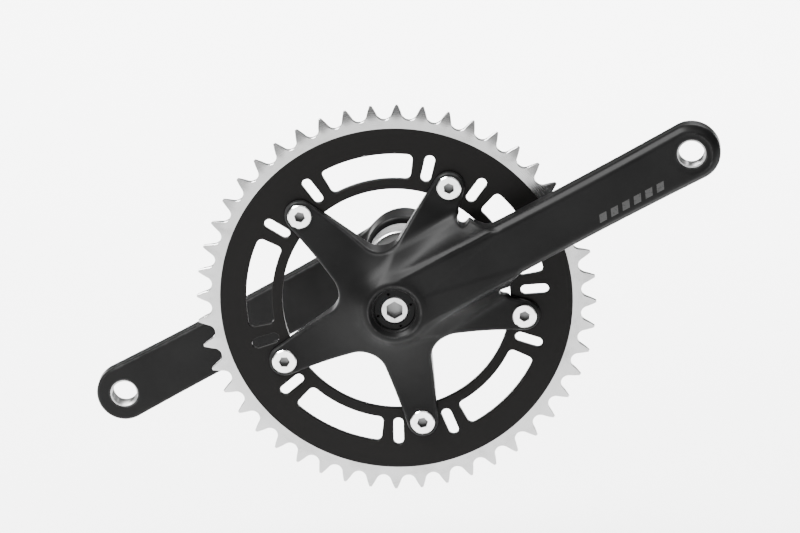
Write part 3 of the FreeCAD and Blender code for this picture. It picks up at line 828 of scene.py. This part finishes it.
def plated(name, shade, roughness, sockets=None):
    """Bright plating with faint polishing marks, dull inside the hexagon sockets and darkened there
    by painted shade.

    sockets gives how many there are, the radius they lie on, their own radius and how far
    outboard their mouths are, in millimetres.
    """
    finish = Finish(name)
    marks = finish.noise(1400.0, 3.0, (1.0, 1.0, 0.2))
    cloud = finish.noise(160.0, 3.0)
    colour = finish.blend(finish.range(cloud, 0.4, 0.7, 0.0, 0.35), grey(shade),
                          grey(shade * 0.72, (1.0, 0.98, 0.94)))
    rough = finish.range(finish.math("ADD", marks, cloud), 0.6, 1.4,
                         roughness * 0.7, roughness * 1.4)
    if sockets:
        count, circle_radius, socket_radius, mouth = sockets
        parts = finish.node("SeparateXYZ")
        finish.feed(parts.inputs[0], finish.place)
        x, y, z = parts.outputs["X"], parts.outputs["Y"], parts.outputs["Z"]
        near = None
        for index in range(count):
            angle = arm_turn + math.pi * (2 * index + 1) / bolt_count
            dx = finish.math("SUBTRACT", x, circle_radius * math.cos(angle) * MM)
            dz = finish.math("SUBTRACT", z, circle_radius * math.sin(angle) * MM)
            away = finish.math("SQRT", finish.math("ADD", finish.math("MULTIPLY", dx, dx),
                                                   finish.math("MULTIPLY", dz, dz)))
            near = away if near is None else finish.math("MINIMUM", near, away)
        sunk = finish.math("LESS_THAN", finish.math("ABSOLUTE", y), (mouth - 0.25) * MM)
        inside = finish.math("MULTIPLY", sunk, finish.math("LESS_THAN", near, socket_radius * MM))
        # Painted shade: the socket insides are greyed to stand in for the shadow down the hexagon
        # holes.
        colour = finish.blend(inside, colour, finish.blend(cloud, grey(0.16), grey(0.28)))
        rough = finish.math("MAXIMUM", rough, finish.math("MULTIPLY", inside, 0.5))
    normal = finish.bump(marks, 0.00001, 0.4)
    return finish.set(Base_Color=colour, Metallic=1.0, Roughness=rough, Normal=normal)


def rubber(name):
    """Matt black lip-seal rubber."""
    finish = Finish(name)
    grain = finish.noise(3000.0, 2.0)
    colour = finish.blend(finish.range(grain, 0.3, 0.7, 0.0, 1.0), grey(0.020), grey(0.034))
    return finish.set(Base_Color=colour, Roughness=finish.range(grain, 0.3, 0.7, 0.62, 0.8),
                      Normal=finish.bump(grain, 0.00003, 0.6))


def brass(name):
    """Pressed brass, slightly tarnished."""
    finish = Finish(name)
    cloud = finish.noise(300.0, 4.0)
    colour = finish.blend(finish.range(cloud, 0.4, 0.65, 0.0, 1.0), (0.58, 0.40, 0.15, 1.0),
                          (0.42, 0.27, 0.10, 1.0))
    roughness = finish.range(cloud, 0.3, 0.7, 0.25, 0.42)
    return finish.set(Base_Color=colour, Metallic=1.0, Roughness=roughness,
                      Normal=finish.bump(cloud, 0.00003, 0.3))


def dress(thing, material):
    thing.data.materials.clear()
    thing.data.materials.append(material)


dress(drive, anodised_arm("anodised_arm_drive", marked=True))
dress(left, anodised_arm("anodised_arm_left"))
dress(plate, anodised_ring("anodised_ring"))
dress(rim, machined("machined_rim", 0.42, 0.24))
thread_metal = machined("cut_thread", 0.34, 0.34, 900.0)
for thing in pedal_threads:
    dress(thing, thread_metal)

slot_materials = {
    "black_ring": anodised_arm("anodised_small", rubbed_and_edge_lit=False),
    "bright_bolt": plated("bright_plating", 0.92, 0.20, (bolt_count, bolt_circle, 3.2, bolt_face)),
    "spindle_steel": machined("ground_spindle", 0.50, 0.28),
    "cup_steel": machined("cup_steel", 0.36, 0.30),
    "dark_steel": plated("black_oxide", 0.10, 0.36),
    "bearing_steel": plated("bearing_steel", 0.62, 0.12),
    "seal_rubber": rubber("seal_rubber"),
    "cage_brass": brass("cage_brass"),
    "black_anodised": anodised_arm("anodised_cad", rubbed_and_edge_lit=False),
    "ring_black_and_bare": anodised_ring("anodised_ring_cad"),
}
own_materials = {
    "crank_bolt_drive": plated("crank_bolt_steel", 0.55, 0.30, (1, 0.0, 5.0, crank_bolt_face)),
    "bb_cartridge_sleeve": machined("dark_sleeve", 0.20, 0.36),
}
own_materials["crank_bolt_left"] = own_materials["crank_bolt_drive"]
for thing in recess_threads:
    dress(thing, slot_materials["black_ring"])
for row in record["subparts"]:
    node = row["node"]
    dress(frame["nodes"][node], own_materials.get(node) or slot_materials[row["material_slot"]])


# ---------------------------------------------------------------- floor, light and camera
def floor():
    """Wide pale floor, low enough for the arms to pass over it all the way round."""
    size, z = 7.0, -(eye_end + 2.0) * MM
    mesh = bpy.data.meshes.new("floor")
    mesh.from_pydata([(-size, -size, z), (size, -size, z), (size, size, z), (-size, size, z)], [],
                     [(0, 1, 2, 3)])
    made = bpy.data.objects.new("floor", mesh)
    bpy.context.scene.collection.objects.link(made)
    finish = Finish("pale_floor")
    cloud = finish.noise(3.0, 3.0)
    colour = finish.blend(cloud, grey(0.80), grey(0.84))
    dress(made, finish.set(Base_Color=colour, Roughness=finish.range(cloud, 0.0, 1.0, 0.6, 0.75)))
    return made


def softbox(name, place, target, width, height, power):
    """Rectangular light that faces a point."""
    light = bpy.data.lights.new(name, "AREA")
    light.shape = "RECTANGLE"
    light.size, light.size_y, light.energy = width, height, power
    made = bpy.data.objects.new(name, light)
    bpy.context.scene.collection.objects.link(made)
    made.location = place
    made.rotation_mode = "QUATERNION"
    made.rotation_quaternion = (Vector(target) - Vector(place)).to_track_quat("-Z", "Y")
    return made


ground = floor()
middle = (cad_low + cad_high) / 2
backdrop = softbox("backdrop", (0.0, 1.6, 1.4), (0.0, 1.0, -0.19), 2.8, 1.2, 320.0)
backdrop.light_linking.receiver_collection = bpy.data.collections.new("backdrop_only")
backdrop.light_linking.receiver_collection.objects.link(ground)
softbox("rear", (0.5, 1.5, 1.3), middle, 1.2, 0.8, 30.0)
softbox("overhead", (-0.85, -0.45, 1.35), middle, 0.9, 0.7, 95.0)
softbox("key", (0.3, -1.3, 1.6), middle, 1.6, 1.0, 24.0)

world = bpy.data.worlds.new("studio")
world.use_nodes = True
world.node_tree.nodes["Background"].inputs["Color"].default_value = (1.0, 1.0, 1.0, 1.0)
world.node_tree.nodes["Background"].inputs["Strength"].default_value = 0.3
bpy.context.scene.world = world

camera_place = Vector((0.149, -3.061, 0.903))
aim = Vector((middle.x, middle.y, middle.z + 0.004))
camera_data = bpy.data.cameras.new("camera")
camera_data.lens = 282.0
camera_data.clip_start, camera_data.clip_end = 0.1, 50.0
camera = bpy.data.objects.new("camera", camera_data)
bpy.context.scene.collection.objects.link(camera)
camera.location = camera_place
camera.rotation_mode = "QUATERNION"
look = (aim - camera_place).to_track_quat("-Z", "Y")
camera.rotation_quaternion = look @ Quaternion((0.0, 0.0, 1.0), math.radians(-1.0))
bpy.context.scene.camera = camera
